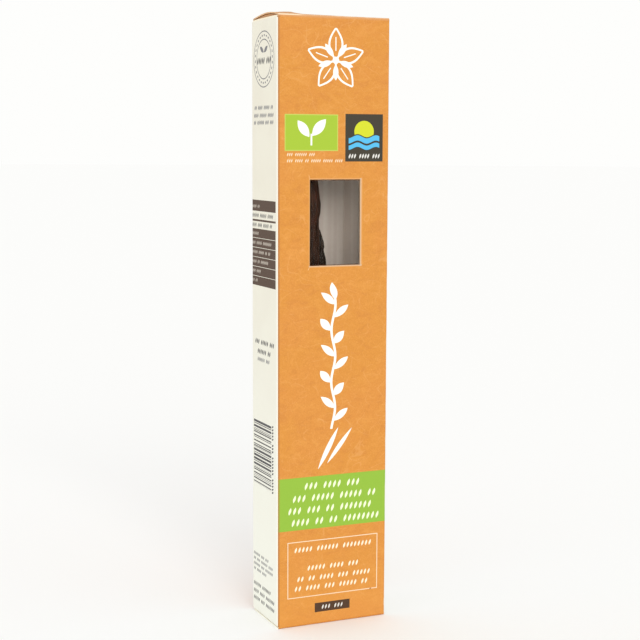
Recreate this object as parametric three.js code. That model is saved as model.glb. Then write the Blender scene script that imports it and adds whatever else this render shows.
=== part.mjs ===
// A slim folding carton for vanilla pods, shut, with a clear window and two cured pods inside.
// Millimetres, +Z up. The front panel faces -Y and the origin is the middle of the base.

import * as THREE from 'three';

// Carton: outside size and board
const cartonWidth = 39.2;
const cartonDepth = 23.2;
const cartonHeight = 200;
const board = 0.42;
const layerGap = 0.04; // between two layers of board that lie on each other
const foldRadius = 0.6; // outside radius of every fold
const foldSteps = 3;

// Window in the front panel, and the film behind it
const windowWidth = 17.9;
const windowCentreX = 0.4;
const windowBottom = 120.1;
const windowTop = 148;
const filmMargin = 5;
const filmThickness = 0.18;

// Flaps
const glueFlapWidth = 5.4;
const glueFlapTaper = 4;
const glueFlapInset = 2;
const dustFlapLength = 15;
const dustFlapTaper = 3;
const dustFlapInset = 0.3;
const tuckDepth = 12;
const tuckCornerRadius = 4;
const tuckCornerSteps = 4;
const tuckInset = 0.6;
const lidColumns = 24;
const lidRows = 9;
const dustFlapRows = 5;
const dustFlapColumns = 8;

// The lid is crowned: it stands up from the fold, most of all at its left end
const crownAtLeft = 1.14;
const crownPeak = 1.5;
const crownAfterDent = 0.85;
const crownAtRight = 0.35;
const crownPeakX = -13;
const crownDentX = -10;
const crownSkew = 0.85; // below 1 the crown is highest just in front of the lid's middle
const dustFlapSpring = 0.95; // how much of the crown's height the dust flap under it takes up

// Pods
const frontPod = {
  halfWidth: 4.2,
  flatness: 0.54,
  rings: 60,
  twist: 0.5,
  phase: 0.6,
  bluntTip: 12,
  stemTaper: 30,
  stemHalfWidth: 1.5,
};
const rearPod = {
  halfWidth: 3.7,
  flatness: 0.56,
  rings: 48,
  twist: -0.35,
  phase: 2.3,
  bluntTip: 11,
  stemTaper: 38,
  stemHalfWidth: 0.85,
};
const podSides = 24;
const podTipHalfWidth = 0.5;

// Uneven skin of the pods: share is a part of the half width, scale is a length along the pod
const broadSwell = { share: 0.05, scale: 6.1 };
const smallSwell = { share: 0.035, scale: 2.9 };
const broadWrinkle = { share: 0.055, count: 5 };
const fineWrinkle = { share: 0.03, count: 9, scale: 17 };
const wrinkleWander = { angle: 0.5, scale: 23 };

// Middle surface of the wall in plan
const halfX = cartonWidth / 2 - board / 2;
const halfY = cartonDepth / 2 - board / 2;
const bend = foldRadius - board / 2;
const bendLength = (bend * Math.PI) / 2;
const layerPitch = board + layerGap;
const glueFlapY = halfY - layerPitch;
const tuckY = halfY - 2 * layerPitch;

// Levels of the wall: the side panels' folds lie one layer inside the lid and the bottom
const frontFoldLow = foldRadius;
const frontFoldHigh = cartonHeight - foldRadius;
const sideFoldLow = frontFoldLow + layerPitch;
const sideFoldHigh = frontFoldHigh - layerPitch;

const smoothStep = THREE.MathUtils.smoothstep;
const lerp = THREE.MathUtils.lerp;

function steps(from, to, count) {
  return Array.from({ length: count + 1 }, (_, index) => lerp(from, to, index / count));
}

// A sheet of board made of strips of triangles on its middle surface. A surface is a function of
// (u, v, offset) that gives a point, with the offset measured towards the printed side.
class BoardSheet {
  constructor(thickness) {
    this.thickness = thickness;
    this.ids = new Map();
    this.printed = [];
    this.plain = [];
    this.triangles = [];
  }

  vertex(surface, [u, v]) {
    const key = surface(u, v, 0).toArray().map((value) => Math.round(value * 5000)).join(' ');
    if (!this.ids.has(key)) {
      this.ids.set(key, this.printed.length);
      this.printed.push(surface(u, v, this.thickness / 2));
      this.plain.push(surface(u, v, -this.thickness / 2));
    }
    return this.ids.get(key);
  }

  // Fills the strip between two rows of [u, v] points that both run towards larger u
  strip(surface, lower, upper) {
    const low = lower.map((point) => this.vertex(surface, point));
    const high = upper.map((point) => this.vertex(surface, point));
    const along = (row, index) => (row[index][0] - row[0][0]) / (row[row.length - 1][0] - row[0][0]);
    let i = 0;
    let j = 0;
    while (i < low.length - 1 || j < high.length - 1) {
      const nextLow = i < low.length - 1 ? along(lower, i + 1) : Infinity;
      const nextHigh = j < high.length - 1 ? along(upper, j + 1) : Infinity;
      if (nextLow <= nextHigh) {
        this.triangles.push([low[i], high[j], low[i + 1]]);
        i += 1;
      } else {
        this.triangles.push([low[i], high[j], high[j + 1]]);
        j += 1;
      }
    }
  }

  rows(surface, rowList) {
    for (let index = 1; index < rowList.length; index += 1) {
      this.strip(surface, rowList[index - 1], rowList[index]);
    }
  }

  // The closed skin: the printed side, the plain side and the cut edge round every outline
  geometry() {
    const shift = this.printed.length;
    const faces = [];
    const edges = new Map();
    for (const [a, b, c] of this.triangles) {
      faces.push(a, b, c, shift + a, shift + c, shift + b);
      for (const [from, to] of [[a, b], [b, c], [c, a]]) {
        const back = `${to} ${from}`;
        if (edges.has(back)) {
          edges.delete(back);
        } else {
          edges.set(`${from} ${to}`, [from, to]);
        }
      }
    }
    for (const [from, to] of edges.values()) {
      faces.push(from, shift + from, to, to, shift + from, shift + to);
    }
    return indexedGeometry([...this.printed, ...this.plain], faces);
  }
}

function indexedGeometry(points, faces) {
  const geometry = new THREE.BufferGeometry().setFromPoints(points);
  geometry.setIndex(faces);
  geometry.computeVertexNormals();
  return geometry;
}

// The wall's course in plan, clockwise seen from above: glue flap, right, front, left and back
function wallCourse() {
  const pieces = [];
  let start = 0;
  const straight = (name, x, y, dx, dy, length) => {
    pieces.push({ name, start, length, x, y, dx, dy });
    start += length;
  };
  const corner = (name, x, y, angle) => {
    pieces.push({ name, start, length: bendLength, x, y, angle });
    start += bendLength;
  };
  const flapX = halfX - bend - glueFlapWidth;
  straight('glueFlap', flapX, glueFlapY, 1, 0, glueFlapWidth);
  corner('rightBack', halfX - bend, glueFlapY - bend, Math.PI / 2);
  straight('right', halfX, glueFlapY - bend, 0, -1, glueFlapY + halfY - 2 * bend);
  corner('rightFront', halfX - bend, bend - halfY, 0);
  straight('front', halfX - bend, -halfY, -1, 0, 2 * (halfX - bend));
  corner('leftFront', bend - halfX, bend - halfY, -Math.PI / 2);
  straight('left', -halfX, bend - halfY, 0, 1, 2 * (halfY - bend));
  corner('leftBack', bend - halfX, halfY - bend, Math.PI);
  straight('back', bend - halfX, halfY, 1, 0, cartonWidth - foldRadius - layerGap);
  return pieces;
}

const course = wallCourse();
const panel = Object.fromEntries(course.map((piece) => [piece.name, piece]));
const endOf = (piece) => piece.start + piece.length;

// Point and outward direction of the wall at a distance u along its course
function wallPlan(u) {
  const piece = course.find((one) => u <= endOf(one) + 1e-9);
  const t = u - piece.start;
  if (piece.angle === undefined) {
    return {
      x: piece.x + piece.dx * t,
      y: piece.y + piece.dy * t,
      outX: -piece.dy,
      outY: piece.dx,
    };
  }
  const angle = piece.angle - t / bend;
  const outX = Math.cos(angle);
  const outY = Math.sin(angle);
  return { x: piece.x + bend * outX, y: piece.y + bend * outY, outX, outY };
}

function wallSurface(u, z, offset) {
  const { x, y, outX, outY } = wallPlan(u);
  return new THREE.Vector3(x + outX * offset, y + outY * offset, z);
}

// Height that the crowned lid adds at a place in plan
function crown(x, y) {
  const toPeak = smoothStep(x, -halfX, crownPeakX);
  const toDent = smoothStep(x, crownPeakX, crownDentX);
  const toRight = THREE.MathUtils.clamp((x - crownDentX) / (halfX - crownDentX), 0, 1);
  let height = lerp(crownAtLeft, crownPeak, toPeak);
  height = lerp(height, crownAfterDent, toDent);
  height = lerp(height, crownAtRight, toRight);
  const across = THREE.MathUtils.clamp((y + halfY) / (tuckY + halfY), 0, 1);
  return height * Math.sin(Math.PI * across ** crownSkew);
}

// A flap folded inwards from the wall at level z, upwards (1) or downwards (-1) first. After
// the fold it runs straight for flapLength and then, if that is finite, folds back along the wall.
function flapPoint(plan, z, direction, flapLength, v, offset) {
  const radius = bend + offset;
  const first = Math.min(v / bend, Math.PI / 2);
  const run = THREE.MathUtils.clamp(v - bendLength, 0, flapLength);
  const second = THREE.MathUtils.clamp((v - bendLength - flapLength) / bend, 0, Math.PI / 2);
  const tail = Math.max(v - 2 * bendLength - flapLength, 0);
  const out = radius * (Math.cos(first) - Math.sin(second)) - bend - run;
  const rise = radius * (Math.sin(first) - (1 - Math.cos(second))) - tail;
  return new THREE.Vector3(
    plan.x + plan.outX * out,
    plan.y + plan.outY * out,
    z + direction * rise,
  );
}

const lidRun = tuckY + halfY - 2 * bend;
const lipLength = (bendLength * (foldSteps - 1)) / foldSteps;

// The front panel beyond the side folds, which flattens out past the corners, and then the lid
// or the bottom with its tuck flap
function frontFlapSurface(direction) {
  const foldLevel = direction > 0 ? frontFoldHigh : frontFoldLow;
  const sideLevel = direction > 0 ? sideFoldHigh : sideFoldLow;
  return (u, v, offset) => {
    const x = halfX - bend - (u - panel.front.start);
    const flat = { x, y: -halfY, outX: 0, outY: -1 };
    if (v < 0) {
      const flatness = 1 + v / layerPitch;
      const onWall = wallSurface(u, 0, offset);
      const level = lerp(sideLevel, foldLevel, flatness);
      return new THREE.Vector3(
        lerp(onWall.x, x, flatness),
        lerp(onWall.y, -halfY - offset, flatness),
        level,
      );
    }
    const point = flapPoint(flat, foldLevel, direction, lidRun, v, offset);
    if (direction > 0) {
      const middle = flapPoint(flat, foldLevel, direction, lidRun, v, 0);
      point.z += crown(middle.x, middle.y);
    }
    return point;
  };
}

function dustFlapSurface(direction) {
  const level = direction > 0 ? sideFoldHigh : sideFoldLow;
  return (u, v, offset) => {
    const plan = wallPlan(u);
    const point = flapPoint(plan, level, direction, Infinity, v, offset);
    if (direction > 0) {
      const middle = flapPoint(plan, level, direction, Infinity, v, 0);
      const lift = smoothStep(v, 0, bendLength) * dustFlapSpring;
      point.z += crown(middle.x, middle.y) * lift;
    }
    return point;
  };
}

function wallStops() {
  const stops = new Set();
  for (const piece of course) {
    const count = piece.angle === undefined ? 1 : foldSteps;
    for (const u of steps(piece.start, endOf(piece), count)) {
      stops.add(u);
    }
  }
  stops.add(windowStart);
  stops.add(windowEnd);
  for (const side of [panel.left, panel.right]) {
    stops.add(side.start + dustFlapInset);
    stops.add(endOf(side) - dustFlapInset);
  }
  return [...stops].sort((a, b) => a - b).filter((u, index, list) => !index || u - list[index - 1] > 1e-6);
}

const windowStart = panel.front.start + (panel.front.length - windowWidth) / 2 - windowCentreX;
const windowEnd = windowStart + windowWidth;

function addWall(sheet) {
  const levels = [
    sideFoldLow,
    sideFoldLow + glueFlapInset,
    windowBottom,
    windowTop,
    sideFoldHigh - glueFlapInset,
    sideFoldHigh,
  ];
  const stops = wallStops().filter((u) => u > panel.rightBack.start - 1e-6);
  for (let row = 1; row < levels.length; row += 1) {
    for (let column = 1; column < stops.length; column += 1) {
      const middle = (stops[column - 1] + stops[column]) / 2;
      const inWindow = levels[row] === windowTop && middle > windowStart && middle < windowEnd;
      if (!inWindow) {
        const ends = [stops[column - 1], stops[column]];
        sheet.strip(
          wallSurface,
          ends.map((u) => [u, levels[row - 1]]),
          ends.map((u) => [u, levels[row]]),
        );
      }
    }
  }
  addGlueFlap(sheet, levels.slice(1, -1));
}

function addGlueFlap(sheet, levels) {
  const freeEdge = panel.glueFlap.start;
  const root = endOf(panel.glueFlap);
  const last = levels.length - 1;
  const rowList = levels.map((z, index) => {
    const taper = index === 0 ? glueFlapTaper : index === last ? -glueFlapTaper : 0;
    return [[freeEdge, z + taper], [root, z]];
  });
  sheet.rows(wallSurface, rowList);
}

// Rows of a flap whose sides close in with v; all rows hold the same number of points
function flapRow(from, to, v, count) {
  return steps(from, to, count).map((u) => [u, v]);
}

function addFrontFlap(sheet, direction) {
  const surface = frontFlapSurface(direction);
  const from = panel.front.start - lipLength;
  const to = endOf(panel.front) + lipLength;
  const lip = wallStops().filter((u) => u > from - 1e-6 && u < to + 1e-6).map((u) => [u, -layerPitch]);
  const columns = direction > 0 ? lidColumns : 1;
  const lidPart = steps(bendLength, bendLength + lidRun, direction > 0 ? lidRows : 1);
  const foldBack = steps(bendLength + lidRun, 2 * bendLength + lidRun, foldSteps);
  const levels = [...steps(0, bendLength, foldSteps), ...lidPart.slice(1), ...foldBack.slice(1)];
  const rowList = levels.map((v) => flapRow(from, to, v, columns));
  const tuckStart = levels[levels.length - 1];
  for (const { inset, depth } of tuckOutline()) {
    rowList.push(flapRow(from + inset, to - inset, tuckStart + depth, columns));
  }
  const ordered = [lip, ...rowList];
  sheet.rows(surface, direction > 0 ? ordered : ordered.reverse());
}

// The tuck flap narrows by tuckInset and ends in two round corners
function tuckOutline() {
  const outline = [{ inset: tuckInset, depth: tuckDepth - tuckCornerRadius }];
  for (let index = 1; index <= tuckCornerSteps; index += 1) {
    const angle = (index / tuckCornerSteps) * (Math.PI / 2);
    outline.push({
      inset: tuckInset + tuckCornerRadius * (1 - Math.cos(angle)),
      depth: tuckDepth - tuckCornerRadius * (1 - Math.sin(angle)),
    });
  }
  return outline;
}

function addDustFlap(sheet, side, direction) {
  const surface = dustFlapSurface(direction);
  const from = side.start + dustFlapInset;
  const to = endOf(side) - dustFlapInset;
  const columns = direction > 0 ? dustFlapColumns : 1;
  const reach = steps(bendLength, bendLength + dustFlapLength, direction > 0 ? dustFlapRows : 1);
  const levels = [...steps(0, bendLength, foldSteps), ...reach.slice(1)];
  const rowList = levels.map((v) => {
    const closing = (dustFlapTaper * Math.max(v - bendLength, 0)) / dustFlapLength;
    return flapRow(from + closing, to - closing, v, v === 0 ? 1 : columns);
  });
  sheet.rows(surface, direction > 0 ? rowList : rowList.reverse());
}

function cartonGeometry() {
  const sheet = new BoardSheet(board);
  addWall(sheet);
  for (const direction of [1, -1]) {
    addFrontFlap(sheet, direction);
    addDustFlap(sheet, panel.left, direction);
    addDustFlap(sheet, panel.right, direction);
  }
  return sheet.geometry();
}

function filmGeometry() {
  const width = windowWidth + 2 * filmMargin;
  const height = windowTop - windowBottom + 2 * filmMargin;
  return new THREE.BoxGeometry(width, filmThickness, height);
}

// Half width of a pod at a distance from its lower, blunt tip
function podHalfWidth(pod, distance, length) {
  const fromTip = Math.min(distance / pod.bluntTip, 1);
  const blunt = Math.sqrt(fromTip * (2 - fromTip));
  const stem = smoothStep(length - distance, 0, pod.stemTaper);
  const broad = broadSwell.share * Math.sin(distance / broadSwell.scale + pod.phase);
  const small = smallSwell.share * Math.sin(distance / smallSwell.scale + 2 * pod.phase);
  const full = lerp(pod.stemHalfWidth, pod.halfWidth * (1 + broad + small), stem);
  return Math.max(full * blunt, podTipHalfWidth);
}

// Long wrinkles that wander round the pod
function podWrinkle(pod, angle, distance) {
  const wander = wrinkleWander.angle * Math.sin(distance / wrinkleWander.scale + pod.phase);
  const broadTurn = broadWrinkle.count * (angle + wander) + pod.phase;
  const fineTurn = fineWrinkle.count * (angle - wander) + distance / fineWrinkle.scale;
  return 1 + broadWrinkle.share * Math.sin(broadTurn) + fineWrinkle.share * Math.sin(fineTurn);
}

function podGeometry(pod, spinePoints) {
  const spine = new THREE.CatmullRomCurve3(spinePoints.map((point) => new THREE.Vector3(...point)));
  const length = spine.getLength();
  const depthAxis = new THREE.Vector3(0, 1, 0);
  const points = [spine.getPointAt(0)];
  for (let ring = 1; ring < pod.rings; ring += 1) {
    const fraction = ring / pod.rings;
    const distance = fraction * length;
    const centre = spine.getPointAt(fraction);
    const along = spine.getTangentAt(fraction);
    const across = depthAxis.clone().cross(along).normalize();
    const through = along.clone().cross(across);
    const turn = pod.twist * (fraction - 0.5);
    const halfWidth = podHalfWidth(pod, distance, length);
    for (let side = 0; side < podSides; side += 1) {
      const angle = (side / podSides) * 2 * Math.PI;
      const swell = podWrinkle(pod, angle, distance);
      const wide = halfWidth * swell * Math.cos(angle);
      const thick = halfWidth * pod.flatness * swell * Math.sin(angle);
      const point = centre.clone();
      point.addScaledVector(across, wide * Math.cos(turn) - thick * Math.sin(turn));
      point.addScaledVector(through, wide * Math.sin(turn) + thick * Math.cos(turn));
      points.push(point);
    }
  }
  points.push(spine.getPointAt(1));
  return indexedGeometry(points, tubeFaces(pod.rings - 1, podSides));
}

// Faces of a closed tube whose points are a start tip, the rings in order and an end tip
function tubeFaces(rings, sides) {
  const faces = [];
  const last = rings * sides + 1;
  for (let side = 0; side < sides; side += 1) {
    const next = (side + 1) % sides;
    faces.push(0, 1 + next, 1 + side);
    for (let ring = 0; ring < rings - 1; ring += 1) {
      const low = 1 + ring * sides;
      const high = low + sides;
      faces.push(low + side, low + next, high + next, low + side, high + next, high + side);
    }
    const top = last - sides;
    faces.push(top + side, top + next, last);
  }
  return faces;
}

function named(name, geometry, material) {
  const mesh = new THREE.Mesh(geometry, material);
  mesh.name = name;
  return mesh;
}

const printedBoard = new THREE.MeshStandardMaterial({ color: 0xeba458, roughness: 0.6, metalness: 0 });
const clearFilm = new THREE.MeshStandardMaterial({
  color: 0xf2f2ee,
  roughness: 0.08,
  metalness: 0,
  transparent: true,
  opacity: 0.2,
});
const podSkin = new THREE.MeshStandardMaterial({ color: 0x35221a, roughness: 0.42, metalness: 0 });

const frontPodSpine = [
  [-7.6, -3.6, 1.3],
  [-8.2, -4.2, 30],
  [-8.6, -4.8, 70],
  [-7.1, -5, 105],
  [-6.3, -5, 121],
  [-6.45, -5, 133],
  [-6.05, -5, 139.5],
  [-6.65, -4.9, 148],
  [-8.6, -4.6, 163],
  [-11.5, -4.2, 169.5],
];
const rearPodSpine = [
  [-2.6, 3, 1.3],
  [-1, 3.2, 25],
  [0.1, 2.6, 60],
  [0.2, 1, 92],
  [0.1, -1, 110],
  [-0.35, -2.3, 121],
  [-0.95, -2.6, 126],
  [-1.35, -2.6, 132],
];

const film = named('window_film', filmGeometry(), clearFilm);
film.position.x = windowCentreX;
film.position.y = board + layerGap + filmThickness / 2 - cartonDepth / 2;
film.position.z = (windowBottom + windowTop) / 2;

const pack = new THREE.Group();
pack.add(
  named('carton', cartonGeometry(), printedBoard),
  film,
  named('pod_1', podGeometry(frontPod, frontPodSpine), podSkin),
  named('pod_2', podGeometry(rearPod, rearPodSpine), podSkin),
);

export default pack;
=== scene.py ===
"""A slim vanilla pod carton with a window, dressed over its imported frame.

Sizes are in millimetres until they reach Blender, which works in metres. The front faces -Y."""

import math
import random
from functools import reduce
from operator import add, or_

import bmesh
import bpy
from mathutils import Matrix, Vector, noise


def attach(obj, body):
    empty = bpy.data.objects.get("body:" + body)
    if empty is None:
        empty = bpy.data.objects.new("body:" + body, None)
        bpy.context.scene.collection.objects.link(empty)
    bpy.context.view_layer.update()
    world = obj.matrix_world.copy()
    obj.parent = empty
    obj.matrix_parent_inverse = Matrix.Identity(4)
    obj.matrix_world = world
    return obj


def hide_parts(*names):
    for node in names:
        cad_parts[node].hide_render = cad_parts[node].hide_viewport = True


MM = 0.001

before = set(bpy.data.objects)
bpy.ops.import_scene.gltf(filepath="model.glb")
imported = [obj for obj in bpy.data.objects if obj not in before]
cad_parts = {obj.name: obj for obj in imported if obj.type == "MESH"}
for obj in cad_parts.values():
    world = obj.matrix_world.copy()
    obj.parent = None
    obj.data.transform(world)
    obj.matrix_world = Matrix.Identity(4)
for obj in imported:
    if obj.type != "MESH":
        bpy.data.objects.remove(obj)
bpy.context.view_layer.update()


# Camera, light and floor. Angles are in degrees, and colours here are linear

CAMERA_PLACE = (-190.78, -436.64, 158.54)
CAMERA_AZIMUTH = -23.63
CAMERA_ELEVATION = 6.90
CAMERA_ROLL = 0.21
FOCAL_LENGTH = 80.617
SENSOR_WIDTH = 36
CLIP_START, CLIP_END = 0.01, 50  # in metres

SKY_COLOUR = (1.0, 1.0, 0.99, 1)
SKY_STRENGTH = 0.91
BACKDROP_COLOUR = (1.0, 1.0, 0.984, 1)
BACKDROP_STRENGTH = 0.99
KEY_COLOUR = (1.0, 0.99, 0.97)
SIDE_COLOUR = (1.0, 1.0, 0.99)

FLOOR_RADIUS = 12  # in metres
FLOOR_SIDES = 96
FLOOR_COLOUR = (0.915, 0.915, 0.91, 1)
FLOOR_ROUGHNESS = 0.9


def direction(azimuth, elevation):
    """The way from the carton towards a camera or a sun, with azimuth 0 before the front."""
    azimuth, elevation = math.radians(azimuth), math.radians(elevation)
    return Vector(
        (
            math.sin(azimuth) * math.cos(elevation),
            -math.cos(azimuth) * math.cos(elevation),
            math.sin(elevation),
        )
    )


def add_camera():
    azimuth, roll = math.radians(CAMERA_AZIMUTH), math.radians(CAMERA_ROLL)
    back = direction(CAMERA_AZIMUTH, CAMERA_ELEVATION)
    right = Vector((math.cos(azimuth), math.sin(azimuth), 0))
    up = back.cross(right)
    across = right * math.cos(roll) + up * math.sin(roll)
    upward = up * math.cos(roll) - right * math.sin(roll)
    data = bpy.data.cameras.new("camera")
    data.lens = FOCAL_LENGTH
    data.sensor_width = SENSOR_WIDTH
    data.clip_start = CLIP_START
    data.clip_end = CLIP_END
    camera = bpy.data.objects.new("camera", data)
    turned = Matrix((across, upward, back)).transposed().to_4x4()
    camera.matrix_world = Matrix.Translation(Vector(CAMERA_PLACE) * MM) @ turned
    bpy.context.scene.collection.objects.link(camera)
    bpy.context.scene.camera = camera


def add_sun(name, azimuth, elevation, strength, spread, colour):
    data = bpy.data.lights.new(name, "SUN")
    data.energy = strength
    data.angle = math.radians(spread)
    data.color = colour
    sun = bpy.data.objects.new(name, data)
    sun.rotation_mode = "QUATERNION"
    sun.rotation_quaternion = direction(azimuth, elevation).to_track_quat("Z", "Y")
    bpy.context.scene.collection.objects.link(sun)


def mixed_shader(tree, amount, under, over):
    """The socket of a shader that is over by amount and under for the rest."""
    node = tree.nodes.new("ShaderNodeMixShader")
    for entry, socket in zip(node.inputs, (amount, under, over)):
        tree.links.new(socket, entry)
    return node.outputs[0]


def add_sky():
    """Even light from all round, and a backdrop that the camera alone sees."""
    world = bpy.data.worlds.new("studio")
    world.use_nodes = True
    tree = world.node_tree
    tree.nodes.clear()
    skies = []
    for colour, strength in (
        (SKY_COLOUR, SKY_STRENGTH),
        (BACKDROP_COLOUR, BACKDROP_STRENGTH),
    ):
        background = tree.nodes.new("ShaderNodeBackground")
        background.inputs["Color"].default_value = colour
        background.inputs["Strength"].default_value = strength
        skies.append(background.outputs[0])
    path = tree.nodes.new("ShaderNodeLightPath")
    out = tree.nodes.new("ShaderNodeOutputWorld")
    seen = mixed_shader(tree, path.outputs["Is Camera Ray"], *skies)
    tree.links.new(seen, out.inputs["Surface"])
    bpy.context.scene.world = world


def add_floor():
    mesh = bpy.data.meshes.new("floor")
    bm = bmesh.new()
    bmesh.ops.create_circle(bm, cap_ends=True, segments=FLOOR_SIDES, radius=FLOOR_RADIUS)
    bm.to_mesh(mesh)
    bm.free()
    floor = bpy.data.objects.new("floor", mesh)
    bpy.context.scene.collection.objects.link(floor)
    material = bpy.data.materials.new("pale_floor")
    material.use_nodes = True
    shader = material.node_tree.nodes["Principled BSDF"]
    shader.inputs["Base Color"].default_value = FLOOR_COLOUR
    shader.inputs["Roughness"].default_value = FLOOR_ROUGHNESS
    shader.inputs["Specular IOR Level"].default_value = 0.0
    mesh.materials.append(material)


# Fields: numbers that change over a surface, written as sums and products


class Field:
    """The output of a shader node, with arithmetic that adds nodes to the same tree."""

    def __init__(self, tree, socket):
        self.tree = tree
        self.socket = socket

    def math(self, operation, *others):
        node = self.tree.nodes.new("ShaderNodeMath")
        node.operation = operation
        for entry, value in zip(node.inputs, (self, *others)):
            if isinstance(value, Field):
                self.tree.links.new(value.socket, entry)
            else:
                entry.default_value = value
        return Field(self.tree, node.outputs[0])

    def __add__(self, other):
        return self.math("ADD", other)

    def __sub__(self, other):
        return self.math("SUBTRACT", other)

    def __rsub__(self, other):
        return self.math("MULTIPLY_ADD", -1.0, other)

    def __mul__(self, other):
        return self.math("MULTIPLY", other)

    def __truediv__(self, other):
        return self.math("DIVIDE", other)

    def __or__(self, other):
        return self.math("MAXIMUM", other)

    def __lt__(self, other):
        return self.math("LESS_THAN", other)

    def __gt__(self, other):
        return self.math("GREATER_THAN", other)

    def absolute(self):
        return self.math("ABSOLUTE")

    def between(self, low, high):
        return self.math("COMPARE", (low + high) / 2, (high - low) / 2)

    def ramp(self, low, high):
        """0 at low, 1 at high and smooth in between. High may be below low."""
        node = self.tree.nodes.new("ShaderNodeMapRange")
        node.interpolation_type = "SMOOTHSTEP"
        self.tree.links.new(self.socket, node.inputs["Value"])
        turned = high < low
        node.inputs["From Min"].default_value = high if turned else low
        node.inputs["From Max"].default_value = low if turned else high
        node.inputs["To Min"].default_value = 1.0 if turned else 0.0
        node.inputs["To Max"].default_value = 0.0 if turned else 1.0
        return Field(self.tree, node.outputs["Result"])


class Surface:
    """A material in the making: its place fields in millimetres, its noises and its paint."""

    NOISE_SHIFT = (1.0, 1.7, 0.6)  # how far a shift of 1 moves a noise along x, y and z
    MIX_AMOUNT, MIX_UNDER, MIX_OVER, MIX_RESULT = 0, 6, 7, 2  # a mix node's colour sockets

    def __init__(self, name):
        self.material = bpy.data.materials.new(name)
        self.material.use_nodes = True
        self.tree = self.material.node_tree
        self.tree.nodes.clear()
        self.shader = self.tree.nodes.new("ShaderNodeBsdfPrincipled")
        self.out = self.tree.nodes.new("ShaderNodeOutputMaterial")
        self.tree.links.new(self.shader.outputs[0], self.out.inputs["Surface"])
        place = self.tree.nodes.new("ShaderNodeTexCoord")
        scale = self.tree.nodes.new("ShaderNodeVectorMath")
        scale.operation = "SCALE"
        scale.inputs["Scale"].default_value = 1 / MM
        self.tree.links.new(place.outputs["Object"], scale.inputs[0])
        self.place = scale.outputs[0]
        split = self.tree.nodes.new("ShaderNodeSeparateXYZ")
        self.tree.links.new(self.place, split.inputs[0])
        self.x, self.y, self.z = (Field(self.tree, socket) for socket in split.outputs)

    def noise(self, size, detail, stretch=(1, 1, 1), shift=0.0, distortion=0.0):
        """Noise from 0 to 1 whose lumps are about size millimetres across."""
        move = self.tree.nodes.new("ShaderNodeVectorMath")
        move.operation = "MULTIPLY_ADD"
        self.tree.links.new(self.place, move.inputs[0])
        move.inputs[1].default_value = stretch
        move.inputs[2].default_value = [share * shift for share in self.NOISE_SHIFT]
        node = self.tree.nodes.new("ShaderNodeTexNoise")
        node.inputs["Scale"].default_value = 1 / size
        node.inputs["Detail"].default_value = detail
        node.inputs["Distortion"].default_value = distortion
        self.tree.links.new(move.outputs[0], node.inputs["Vector"])
        return Field(self.tree, node.outputs["Fac"])

    def mix(self, under, over, amount):
        """Over laid on under by amount. A colour is a socket or sRGB numbers up to 255."""
        node = self.tree.nodes.new("ShaderNodeMix")
        node.data_type = "RGBA"
        self.tree.links.new(amount.socket, node.inputs[self.MIX_AMOUNT])
        for index, colour in ((self.MIX_UNDER, under), (self.MIX_OVER, over)):
            if isinstance(colour, tuple):
                node.inputs[index].default_value = linear(colour)
            else:
                self.tree.links.new(colour, node.inputs[index])
        return node.outputs[self.MIX_RESULT]

    def lay(self, under, paint, field):
        """A paint, which is (colour, cover), laid on under as far as field says."""
        colour, cover = paint
        return self.mix(under, colour, field * cover)

    def set(self, **values):
        for name, value in values.items():
            entry = self.shader.inputs[name.replace("_", " ")]
            if isinstance(value, Field):
                self.tree.links.new(value.socket, entry)
            elif isinstance(value, bpy.types.NodeSocket):
                self.tree.links.new(value, entry)
            else:
                entry.default_value = value

    def bump(self, height, depth):
        """Height is a field from 0 to 1, and depth its full relief in millimetres."""
        node = self.tree.nodes.new("ShaderNodeBump")
        node.inputs["Strength"].default_value = 1.0
        node.inputs["Distance"].default_value = depth * MM
        self.tree.links.new(height.socket, node.inputs["Height"])
        self.tree.links.new(node.outputs[0], self.shader.inputs["Normal"])


def linear(colour):
    """The linear colour of three sRGB numbers up to 255, by the sRGB standard's own formula."""

    def channel(value):
        share = value / 255
        return share / 12.92 if share <= 0.04045 else ((share + 0.055) / 1.055) ** 2.4

    return (*map(channel, colour), 1)


# Shapes of the print, as fields that are 1 inside and 0 outside

SEED_LEAN = 0.3  # sideways for each millimetre up
SEED_GROUP = (2, 6)  # the fewest and the most seeds in a group
SMALLEST_LAST_GROUP = 3


def box(x, z, left, right, low, high):
    return x.between(left, right) * z.between(low, high)


def grown(sides, by):
    """The sides of a box moved outwards."""
    left, right, low, high = sides
    return left - by, right + by, low - by, high + by


def distance(x, z, centre_x, centre_z):
    from_x = x - centre_x
    from_z = z - centre_z
    return (from_x * from_x + from_z * from_z).math("SQRT")


def leaf(x, z, centre_x, centre_z, angle, length, width):
    """A pointed leaf whose long axis is turned by angle from +x towards +z."""
    turn = math.radians(angle)
    along, up = math.cos(turn) * 2 / length, math.sin(turn) * 2 / length
    across, over = -math.sin(turn) * 2 / width, math.cos(turn) * 2 / width
    u = x.math("MULTIPLY_ADD", along, -centre_x * along - centre_z * up) + z * up
    v = x.math("MULTIPLY_ADD", across, -centre_x * across - centre_z * over) + z * over
    return (u * u + v.absolute()) < 1.0


def leaves(x, z, places):
    """Leaves at once: each is (middle x, middle z, angle, length, width)."""
    return reduce(or_, [leaf(x, z, *place) for place in places])


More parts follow.
